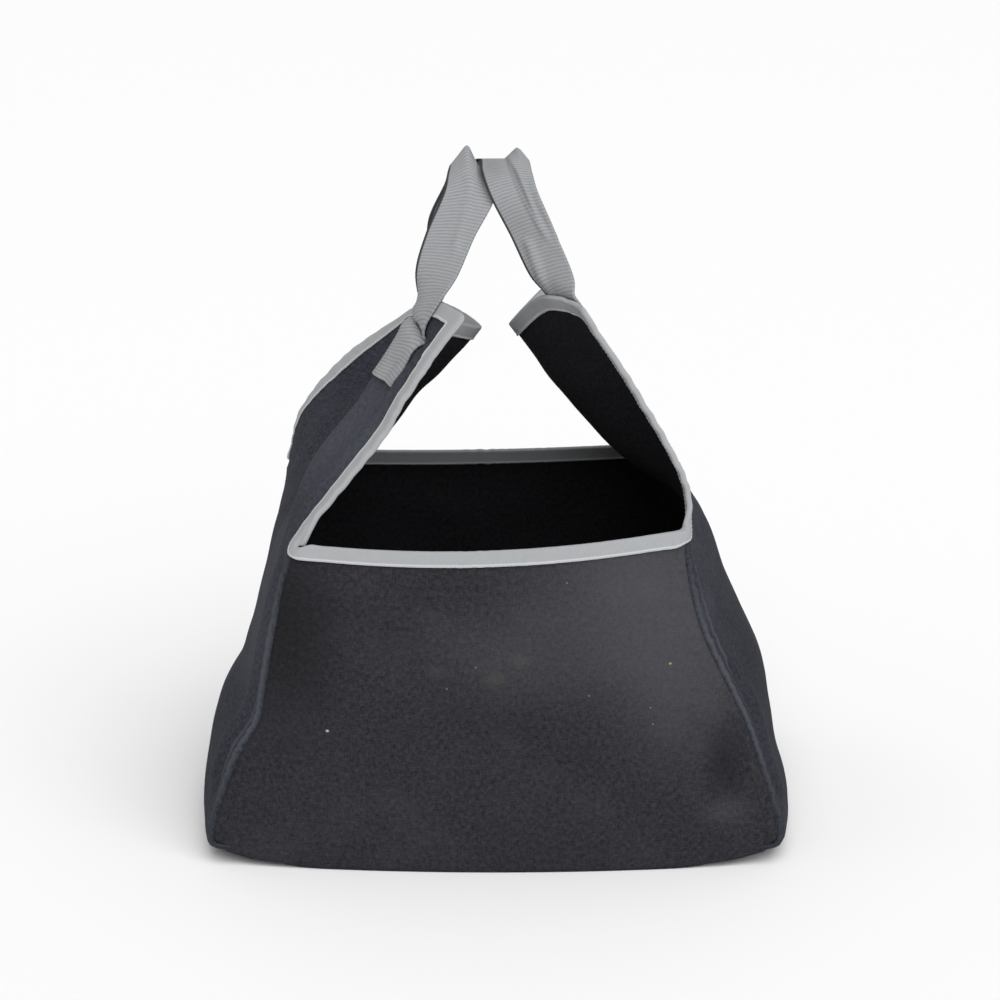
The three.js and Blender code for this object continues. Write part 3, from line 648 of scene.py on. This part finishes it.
# A section of the tape runs up its outer leaf, round the fold, down its inner leaf and back inside both.
LEAF = np.linspace(1, 0, 7) * TAPE_DEEP
FOLD = np.radians(np.arange(15, 166, 15))
SLOT = LEAF[::3]
TAPE_IN = np.concatenate([LEAF, -TAPE_LIP * np.sin(FOLD), LEAF[::-1], SLOT, SLOT[::-1]])
LEAF_UP = np.full(len(LEAF), TAPE_FACE)
SLOT_UP = np.full(len(SLOT), TAPE_SLOT)
TAPE_UP = np.concatenate([LEAF_UP, TAPE_FACE * np.cos(FOLD), -LEAF_UP, -SLOT_UP, SLOT_UP])
OUTER_EDGE, OUTER_MIDDLE, FOLD_MIDDLE, INNER_MIDDLE, INNER_EDGE = 0, 3, 12, 21, 24


def tape_section(points, normals):
    return points + normals * TAPE_UP[:, None]


def places_per_mm(surface, a, b, along_a):
    step = np.full(1, PROBE)
    zero = np.zeros(1)
    da, db = (step, zero) if along_a else (zero, step)
    return 2 * PROBE / np.linalg.norm(surface(a + da, b + db) - surface(a - da, b - db))


def on_sling(along, depth, per_along=0.0, per_depth=0.0):
    """A tape section on the sling, by how its places move for each millimetre in from the edge."""
    return tape_section(*sling_frames(along + TAPE_IN * per_along, depth + TAPE_IN * per_depth))


def along_mm(along, depth):
    return places_per_mm(sling_cut, np.array([along]), np.array([depth]), True)


def depth_mm(along, depth):
    return places_per_mm(sling_cut, np.array([along]), np.array([depth]), False)


def panel_tape(panel):
    """Tape sections along a panel's top, towards its first side."""

    def surface(height, across):
        return panel_cloth(panel, height, across)

    sections = []
    top = np.ones(1)
    for across in np.linspace(*PANEL_SPAN, PANEL_SECTIONS):
        place = np.array([across])
        per_mm = PROBE / np.linalg.norm(surface(top, place) - surface(top - PROBE, place))
        beside = np.full(len(TAPE_IN), across)
        sections.append(tape_section(*frames(surface, 1 - TAPE_IN * per_mm, beside)))
    return sections


def corner_tape(panel, side, down):
    """The tape mitred across the seam at a panel's top, and fanned out on the flap's edge."""
    top, depth = side["top"], panel["depth"]
    per_along = down * along_mm(top, depth)
    per_depth = -panel["outward"] * depth_mm(top, depth)
    rounded = TAPE_IN * per_along * CORNER_ROUND
    point, normal = sling_frames(top + rounded, np.full(len(TAPE_IN), depth))
    point[:, 1] += panel["outward"] * PANEL_OFFSET
    normal[:, 1] += panel["outward"]
    sections = [tape_section(point, normal)]
    for turn, rise in CORNER_FAN:
        angle = math.radians(turn)
        start = top - rise * per_along
        sections.append(on_sling(start, depth, math.cos(angle) * per_along, math.sin(angle) * per_depth))
    return sections


def flap_edge_tape(depth, seam_top, top_edge):
    way = np.sign(top_edge - seam_top)
    inwards = np.sign(0.5 - depth)
    first = seam_top + way * TAPE_CLEAR * along_mm(seam_top, depth)
    last = top_edge - way * TAPE_CLEAR * along_mm(top_edge, depth)
    places = np.linspace(first, last, EDGE_SECTIONS)
    return [on_sling(a, depth, 0, inwards * depth_mm(a, depth)) for a in places]


def flap_corner_tape(depth, top_edge, down):
    per_along = down * along_mm(top_edge, depth)
    per_depth = np.sign(0.5 - depth) * depth_mm(top_edge, depth)
    return on_sling(top_edge, depth, per_along, per_depth)


def flap_top_tape(top_edge, down, from_depth):
    first = TAPE_CLEAR * depth_mm(top_edge, 0.0)
    last = 1 - TAPE_CLEAR * depth_mm(top_edge, 1.0)
    depths = np.linspace(first, last, TOP_SECTIONS)
    ordered = depths if from_depth == 0 else depths[::-1]
    return [on_sling(top_edge, d, down * along_mm(top_edge, d), 0) for d in ordered]


def half_tape(panel, top_edge, next_panel):
    """Half of the loop: along a panel's top, up a flap's near edge, along its top and down again."""
    down = 1 if top_edge == 0 else -1
    near, far = panel["depth"], next_panel["depth"]
    return [
        *panel_tape(panel),
        *corner_tape(panel, panel["first"], down),
        *flap_edge_tape(near, panel["first"]["top"], top_edge),
        flap_corner_tape(near, top_edge, down),
        *flap_top_tape(top_edge, down, near),
        flap_corner_tape(far, top_edge, down),
        *flap_edge_tape(far, next_panel["second"]["top"], top_edge)[::-1],
        *corner_tape(next_panel, next_panel["second"], down)[::-1],
    ]


def grid_spline(lines, places):
    """Rows of points along lines of control points, one row at each place."""
    count = lines.shape[1]
    return spline(lines, np.repeat(places, count)).reshape(len(places), count, 3)


FINE_STEPS = 12


def even_places(lines, step):
    """Places along control lines that are a step apart on their mean line, and how far along each is."""
    fine = np.linspace(0, len(lines) - 1, FINE_STEPS * len(lines))
    reach = lengths_along(grid_spline(lines, fine).mean(axis=1))
    far = np.linspace(0, reach[-1], round(reach[-1] / step) + 1)
    return np.interp(far, reach, fine), far


# The tape is eased round the four corners of the opening, and its outer leaf stands out over the seams
# that it turns across.
MITRE_EASE = 0.4
CORNER_OUT = [2.4, 1.6, 0.7]
CORNER_WAYS = [(-1, -1, 0), (-1, 1, 0), (1, 1, 0), (1, -1, 0)]
INNER_COUNT = len(LEAF) + 2 * len(SLOT)
OUTER_SHARE = np.concatenate([np.ones(len(LEAF)), np.linspace(1, 0, len(FOLD)), np.zeros(INNER_COUNT)])
tape_rows = np.array(half_tape(FRONT, 0, BACK) + half_tape(BACK, LAST, FRONT))
half_count = len(tape_rows) // 2
mitres = [PANEL_SECTIONS, half_count - 1, half_count + PANEL_SECTIONS, 2 * half_count - 1]
between = (np.roll(tape_rows, 1, axis=0) + np.roll(tape_rows, -1, axis=0)) / 2
for mitre, way in zip(mitres, CORNER_WAYS):
    tape_rows[mitre] = tape_rows[mitre] * (1 - MITRE_EASE) + between[mitre] * MITRE_EASE
    for step in range(1 - len(CORNER_OUT), len(CORNER_OUT)):
        out = unit(np.array(way, float)) * CORNER_OUT[abs(step)]
        tape_rows[(mitre + step) % len(tape_rows)] += OUTER_SHARE[:, None] * out
tape_places, tape_far = even_places(np.concatenate([tape_rows, tape_rows[:1]]), TAPE_STEP)
tape_loop = np.concatenate([tape_rows[-2:], tape_rows, tape_rows[:3]])
tape_points = grid_spline(tape_loop, tape_places + 2)

# Small puckers drawn by the thread, scallops along the edge, both stronger in patches, and the lapped end
TAPE_PUCKER = dict(rise=0.35, size=9, seed=21, calm=0.4)
FINE_PUCKER = dict(share=0.6, size=4, seed=22)
ROUGH_PATCH = dict(size=60, seed=23, start=0.1, full=0.5)
SCALLOP = dict(rise=0.45, size=5, seed=24, calm=0.25)
LAP = dict(span=(88.0, 112.0), rise=0.7, step=1.0)


def tape_ripple(wrinkle):
    return ripple(tape_far, 0 * tape_far, wrinkle["size"], wrinkle["seed"])


edges_middle = (tape_points[:, OUTER_EDGE] + tape_points[:, INNER_EDGE]) / 2
tape_out = unit(tape_points[:, FOLD_MIDDLE] - edges_middle)
tape_up = unit(tape_points[:, OUTER_MIDDLE] - tape_points[:, INNER_MIDDLE])
wobble = tape_ripple(TAPE_PUCKER) + FINE_PUCKER["share"] * tape_ripple(FINE_PUCKER)
rough = smooth(np.abs(tape_ripple(ROUGH_PATCH)), ROUGH_PATCH["start"], ROUGH_PATCH["full"])
rise = TAPE_PUCKER["rise"] * wobble * (TAPE_PUCKER["calm"] + rough)
reach = SCALLOP["rise"] * (SCALLOP["calm"] + rough) * tape_ripple(SCALLOP)
tape_points += tape_up[:, None] * rise[:, None, None] + tape_out[:, None] * reach[:, None, None]
begun, ended = (smooth(tape_far, place, place + LAP["step"]) for place in LAP["span"])
lapped = LAP["rise"] * (begun - ended)
tape_points[:, : len(LEAF)] += tape_up[:, None] * lapped[:, None, None]

# Narrow grey cotton weaves: matte and a little fuzzy, with ribs across them that catch the light in soft
# lines, and uneven in tone. A wave texture at scale 1 repeats every WAVE metres.
WAVE = 2 * math.pi / 20
UNEVEN = 9.091
EDGE_FADE = 0.8


def woven_grey(name, dark, light, rib_mm, edge, middle, edge_from, marks):
    """Grey cotton ribs across a narrow cloth, in another grey past a distance from a line along it."""
    finish, tree, shader = new_finish(name, roughness=0.82)
    shader.inputs["Specular IOR Level"].default_value = 0.25
    flat = add_node(tree, "UVMap", uv_map="flat").outputs["UV"]
    ribs = {"Scale": WAVE / (rib_mm * MM), "Distortion": 1.6, "Detail": 2.0, "Detail Scale": 1.5}
    wave = add_node(tree, "TexWave", {"Vector": flat}, ribs, bands_direction="Y").outputs["Fac"]
    uneven = {"Scale": 1 / (UNEVEN * MM), "Detail": 7.0, "Roughness": 0.75}
    fuzz = add_node(tree, "TexNoise", {"Vector": flat}, uneven).outputs["Fac"]
    both = add_node(tree, "Math", {0: wave, 1: fuzz}, operation="ADD").outputs[0]
    span = {"From Min": 0.2, "From Max": 1.4}
    lit = add_node(tree, "MapRange", {"Value": both}, span).outputs["Result"]
    tints = {MIX_A: colour(dark), MIX_B: colour(light)}
    yarn = add_node(tree, "Mix", {0: lit}, tints, data_type="RGBA").outputs[MIX_OUT]
    across = add_node(tree, "SeparateXYZ", {"Vector": flat}).outputs["X"]
    aside = add_node(tree, "Math", {0: across}, {1: middle * MM}, operation="SUBTRACT").outputs[0]
    away = add_node(tree, "Math", {0: aside}, operation="ABSOLUTE").outputs[0]
    near = {"From Min": edge_from * MM, "From Max": (edge_from + EDGE_FADE) * MM}
    line = add_node(tree, "MapRange", {"Value": away}, near).outputs["Result"]
    edging = {MIX_B: colour(edge)}
    cloth = add_node(tree, "Mix", {0: line, MIX_A: yarn}, edging, data_type="RGBA").outputs[MIX_OUT]
    relief = {"Strength": 0.3, "Distance": 0.3 * MM}
    bump = add_node(tree, "Bump", {"Height": both}, relief).outputs["Normal"]
    tree.links.new(spotted(tree, flat, cloth, marks), shader.inputs["Base Color"])
    tree.links.new(bump, shader.inputs["Normal"])
    return finish


def closed_strip(points, across, along):
    """Rows of closed rings joined into one strip, with their places on the flat cloth."""
    rows, columns = len(points) - 1, points.shape[1]
    made, far_share, round_share = cloth_grid(rows, columns)
    row = np.rint(far_share * rows).astype(int)
    column = np.rint(round_share * columns).astype(int) % columns
    lay_out(made, points[row, column], across[column], along[row])
    bmesh.ops.remove_doubles(made, verts=made.verts, dist=0.0001 * MM)
    bmesh.ops.recalc_face_normals(made, faces=made.faces)
    return made


# The tape's ribs are fine, and its woven edges are paler than its middle.
tape_cloth = woven_grey(
    "grey_cotton_tape",
    dark="#8f9194",
    light="#a6a8aa",
    rib_mm=1.2,
    edge="#c6c7c8",
    middle=0,
    edge_from=8.4,
    marks=[],
)
made = closed_strip(tape_points, np.abs(TAPE_IN), tape_far)
edge_tape = new_piece("binding", made, "tape", tape_cloth)
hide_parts("edge_tape")

# The handles
# Each handle is one length of grey ribbed webbing. Its two tails are sewn flat on the outside of a flap,
# and the loop between them stands up, folding over lengthwise where it was gathered at the top.
WEBBING = 2.0
WEBBING_GAP = 0.6
WEBBING_STEP = 0.7
WEBBING_LINES = np.linspace(-1, 1, 25)
LIFT_ON_CANVAS = CANVAS / 2 + WEBBING_GAP + WEBBING / 2
LIFT_OVER_TAPE = TAPE_FACE + WEBBING_GAP + WEBBING / 2
TAIL_DOWN = [-5, 14, 28, 72]
TAIL_LIFT = [LIFT_OVER_TAPE, LIFT_OVER_TAPE, LIFT_ON_CANVAS, LIFT_ON_CANVAS]
TAIL_PLACES = np.linspace(TAIL_DOWN[-1], TAIL_DOWN[0], 14)
TAIL_ROWS = [(down, np.interp(down, TAIL_DOWN, TAIL_LIFT)) for down in TAIL_PLACES]
LEAN_OVER = 40.0
CREASE_FADE = 8.0
LEFT_LOOP = dict(
    legs=[
        dict(x=-45, y=-65, z=441, turn=50, back_turn=24, left=20, right=20, crown=0),
        dict(x=-35, y=-46, z=467, turn=66, left=20, right=20, crown=0),
        dict(x=-20, y=-29, z=498, turn=80, left=20, right=20, crown=3),
        dict(x=-20, y=-14, z=508, turn=85, left=17, right=12, crown=11),
    ],
    top=dict(x=-21, y=0, z=514, turn=90, left=14, right=8, crown=16),
    crease=-0.1,
    spread=0.9,
    back_shift=0,
    front_skew=0.2,
    rib_lean=0,
    creases=[dict(share=0.0, drift=0.5, width=0.18, rise=-1.3, low=455, high=505)],
)
RIGHT_LOOP = dict(
    legs=[
        dict(x=43, y=-72, z=440, turn=58, left=20, right=18, crown=0),
        dict(x=28, y=-58, z=470, turn=62, left=20, right=20, crown=0),
        dict(x=14, y=-45, z=498, turn=72, left=20, right=20, crown=0),
        dict(x=8, y=-26, z=513, turn=82, left=19.5, right=19.5, crown=4),
    ],
    top=dict(x=6, y=0, z=519, turn=90, left=18.5, right=18.5, crown=9),
    crease=0.6,
    spread=0.4,
    back_shift=-7,
    front_skew=0,
    rib_lean=7,
    creases=[
        dict(share=0.3, drift=0.25, width=0.12, rise=-2.6, low=470, high=520),
        dict(share=0.62, drift=0.1, width=0.2, rise=1.6, low=475, high=520),
        dict(share=-0.35, drift=-0.25, width=0.2, rise=-2.4, low=428, high=462),
    ],
)


def tail_row(top_edge, middle, outwards, skew, down, lift):
    depth = middle + outwards * WEBBING_LINES * TAIL_HALF
    way = 1 if top_edge == 0 else -1
    per_mm = np.array([along_mm(top_edge, d) for d in depth])
    reach = down * (1 - skew * (1 - WEBBING_LINES) / 2)
    point, normal = sling_frames(top_edge + way * reach * per_mm, depth)
    return point + normal * lift


def leg_row(loop, leg, end):
    """A row across a leg of the loop: end is 1 on its front leg and -1 on its back one."""
    reach = WEBBING_LINES * np.where(WEBBING_LINES < 0, leg["left"], leg["right"])
    turn, shift = leg["turn"], 0
    if end < 0:
        turn, shift = leg.get("back_turn", turn), loop["back_shift"]
    angle = math.radians(turn)
    x = leg["x"] + shift + reach * math.sin(angle)
    y = end * (leg["y"] - reach * math.cos(angle))
    crown = leg["crown"] * np.maximum(0, 1 - np.abs(WEBBING_LINES - loop["crease"]) / loop["spread"])
    return np.stack([x, y, leg["z"] + crown], -1)


def handle_lines(loop, top_edge):
    return np.stack(
        [
            *[tail_row(top_edge, FRONT_TAIL, -1, loop["front_skew"], *row) for row in TAIL_ROWS],
            *[leg_row(loop, leg, 1) for leg in loop["legs"]],
            leg_row(loop, loop["top"], 1),
            *[leg_row(loop, leg, -1) for leg in loop["legs"][::-1]],
            *[tail_row(top_edge, BACK_TAIL, 1, 0, *row) for row in TAIL_ROWS[::-1]],
        ]
    )


# Grey cotton webbing: matte, with soft ribs that lie square to its length, painted shade along one edge,
# and painted shade in dark lines where it stays creased and over the top of the right loop.
RIB = dict(pitch=2.8, rise=0.08, arch=1.6)
# width of the painted shade along one edge of the webbing
EDGE_SHADE_WIDTH = 2.4
PAINTED_CREASE_SHADE = dict(tint="#1d1d20", core=0.4)
# painted shade in the crease where the left loop turns over the flap's top
LEFT_MARKS = [dict(PAINTED_CREASE_SHADE, at=(29, 48), size=(18, 2.8), turn=-32, cover=0.9)]
RIGHT_MARKS = [
    # painted shade along the right loop's crease and over its top
    dict(PAINTED_CREASE_SHADE, at=(28, 165), size=(36, 1.6), turn=-86, cover=0.4),
    dict(PAINTED_CREASE_SHADE, at=(8, 195), size=(16, 34), core=0.0, cover=0.16),
]
WEBBING_GREYS = dict(
    dark="#7e8083",
    light="#999b9d",
    rib_mm=RIB["pitch"],
    edge="#3c3d40",
    middle=WEBBING_WIDTH,
    edge_from=WEBBING_WIDTH - EDGE_SHADE_WIDTH,
)
LEFT_LOOP.update(finish=woven_grey("grey_ribbed_webbing_left", marks=LEFT_MARKS, **WEBBING_GREYS))
RIGHT_LOOP.update(finish=woven_grey("grey_ribbed_webbing_right", marks=RIGHT_MARKS, **WEBBING_GREYS))


def creased(loop, points):
    """How far the creases of a loop's front leg lift its webbing."""
    z = points[:, :, 2]
    lift = np.zeros(z.shape)
    for crease in loop["creases"]:
        low, high = crease["low"], crease["high"]
        middle = crease["share"] + crease["drift"] * (high - z) / (high - low)
        near = np.exp(-(((WEBBING_LINES - middle) / crease["width"]) ** 2))
        starts = smooth(z, low - CREASE_FADE, low + CREASE_FADE)
        ends = 1 - smooth(z, high, high + CREASE_FADE)
        lift += crease["rise"] * near * starts * ends
    return lift * (points[:, :, 1] < 0)


def handle(name, node, loop, top_edge):
    lines = handle_lines(loop, top_edge)
    places, far = even_places(lines, WEBBING_STEP)
    rows, columns = len(far) - 1, len(WEBBING_LINES) - 1
    points = grid_spline(lines, places)
    along = np.gradient(points, axis=0)
    beside = np.gradient(points, axis=1)
    normal = unit(np.cross(along, beside))
    lean = loop["rib_lean"] * np.clip(-points[:, :, 1] / LEAN_OVER, -1, 1)
    woven = far[:, None] + RIB["arch"] * WEBBING_LINES**2 - lean * WEBBING_LINES
    rib = RIB["rise"] * np.sin(2 * np.pi * woven / RIB["pitch"])
    points += normal * (rib + creased(loop, points))[:, :, None]
    made, far_share, across = cloth_grid(rows, columns)
    row = np.rint(far_share * rows).astype(int)
    column = np.rint(across * columns).astype(int)
    lay_out(made, points[row, column], across * WEBBING_WIDTH, woven[row, column])
    piece = new_piece(name, made, "webbing", loop["finish"])
    thicken(piece, WEBBING)
    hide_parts(node)


handle("strap_left", "handle_left", LEFT_LOOP, 0)
handle("strap_right", "handle_right", RIGHT_LOOP, LAST)

# The stitches
# Grey thread runs along both leaves of the tape, and black thread holds the panels beside their seams.
# Each run is one thread, which dips into the cloth at the end of every stitch.
THREAD = 0.3
STITCH = 3.2
STITCH_STEPS = 4
STITCH_RISE = 1.4
THREAD_TURNS = np.radians(np.arange(0, 360, 72))


def plain(name, code, roughness):
    """A finish of one even colour."""
    finish, tree, shader = new_finish(name, roughness)
    shader.inputs["Base Color"].default_value = colour(code)
    return finish


def sew(name, slot, finish, points, ups):
    """One run of stitches along a line of points on cloth that faces the given ways."""
    reach = lengths_along(points)
    far = np.arange(0, reach[-1], STITCH / STITCH_STEPS)
    middle = np.stack([np.interp(far, reach, points[:, k]) for k in range(3)], axis=1)
    up = unit(np.stack([np.interp(far, reach, ups[:, k]) for k in range(3)], axis=1))
    beside = unit(np.cross(up, np.gradient(middle, axis=0)))
    rise = THREAD * (STITCH_RISE * np.abs(np.sin(np.pi * far / STITCH)) ** 0.5 - 1)
    turn_up, turn_beside = np.sin(THREAD_TURNS)[:, None], np.cos(THREAD_TURNS)[:, None]
    around = up[:, None] * turn_up + beside[:, None] * turn_beside
    rings = (middle + up * rise[:, None])[:, None] + THREAD * around
    made = closed_strip(rings, THREAD * THREAD_TURNS, far)
    new_piece(name, made, slot, finish)


# Polyester thread: smoother than the cloths, so that it shines a little where the light meets it
grey_thread = plain("grey_polyester_thread", "#b4b5b6", roughness=0.7)
black_thread = plain("black_polyester_thread", "#0c0c0e", roughness=0.7)
TAPE_STITCHES = [
    ("tape_thread_outside", (OUTER_EDGE, OUTER_EDGE + 1), 1),
    ("tape_thread_inside", (INNER_EDGE, INNER_EDGE - 1), -1),
]
for name, columns, face in TAPE_STITCHES:
    sew(name, "tape", grey_thread, tape_points[:, columns].mean(axis=1), face * tape_up)

SEAM_SAMPLES = 160
SEAM_LEVELS = (0.03, 0.8)
SEAM_SPAN = (16.0, 118.0)
SEAM_STITCH_IN = 0.02
SEAM_SIDES = [("left", SEAM_STITCH_IN), ("right", 1 - SEAM_STITCH_IN)]
for end, panel in (("front", FRONT), ("back", BACK)):
    for side, place in SEAM_SIDES:
        across = np.full(SEAM_SAMPLES, place)
        levels = np.linspace(*SEAM_LEVELS, SEAM_SAMPLES)
        rise = panel_cut(panel, levels, across)[:, 2]
        heights = np.interp(np.linspace(*SEAM_SPAN, SEAM_SAMPLES), rise, levels)
        ups = np.zeros((SEAM_SAMPLES, 3))
        ups[:, 1] = panel["outward"]
        points = panel_cloth(panel, heights, across) + ups * CANVAS / 2
        sew(end + "_thread_" + side, "canvas", black_thread, points, ups)

# The floor, the light and the camera
# A wide sheet of pale matte paper under one broad soft light and an even white surround, which leave only
# a faint shadow at the foot, seen from a little above the front of the carrier.
FLOOR_HALF = 30
floor_mesh = bmesh.new()
bmesh.ops.create_grid(floor_mesh, x_segments=1, y_segments=1, size=FLOOR_HALF)
mesh = bpy.data.meshes.new("floor")
floor_mesh.to_mesh(mesh)
floor_mesh.free()
floor = bpy.data.objects.new("floor", mesh)
bpy.context.scene.collection.objects.link(floor)
mesh.materials.append(plain("pale_paper", "#fafafa", roughness=0.9))

world = bpy.data.worlds.new("studio")
world.use_nodes = True
surround = world.node_tree.nodes["Background"]
surround.inputs["Color"].default_value = colour("#ffffff")
surround.inputs["Strength"].default_value = 0.5
bpy.context.scene.world = world
bpy.context.scene.view_settings.view_transform = "Standard"

# One broad key light from the upper front, softened to a wide source, so the floor stays even and pale
KEY_FROM = Vector((0.22, -0.62, 0.75))
key = bpy.data.lights.new("key", "SUN")
key.energy = 2.3
key.angle = math.radians(70)
lamp = bpy.data.objects.new("key", key)
lamp.rotation_euler = KEY_FROM.to_track_quat("Z", "Y").to_euler()
bpy.context.scene.collection.objects.link(lamp)

CAMERA_AIM = Vector((0.0032, 0.0, 0.248))
CAMERA_AWAY = 1.9
CAMERA_ABOVE = math.radians(15)
camera = bpy.data.objects.new("camera", bpy.data.cameras.new("camera"))
camera.data.lens = 85.5
camera.data.sensor_width = 36
back = Vector((0, -math.cos(CAMERA_ABOVE), math.sin(CAMERA_ABOVE)))
camera.location = CAMERA_AIM + back * CAMERA_AWAY
camera.rotation_euler = (math.pi / 2 - CAMERA_ABOVE, 0, 0)
bpy.context.scene.collection.objects.link(camera)
bpy.context.scene.camera = camera
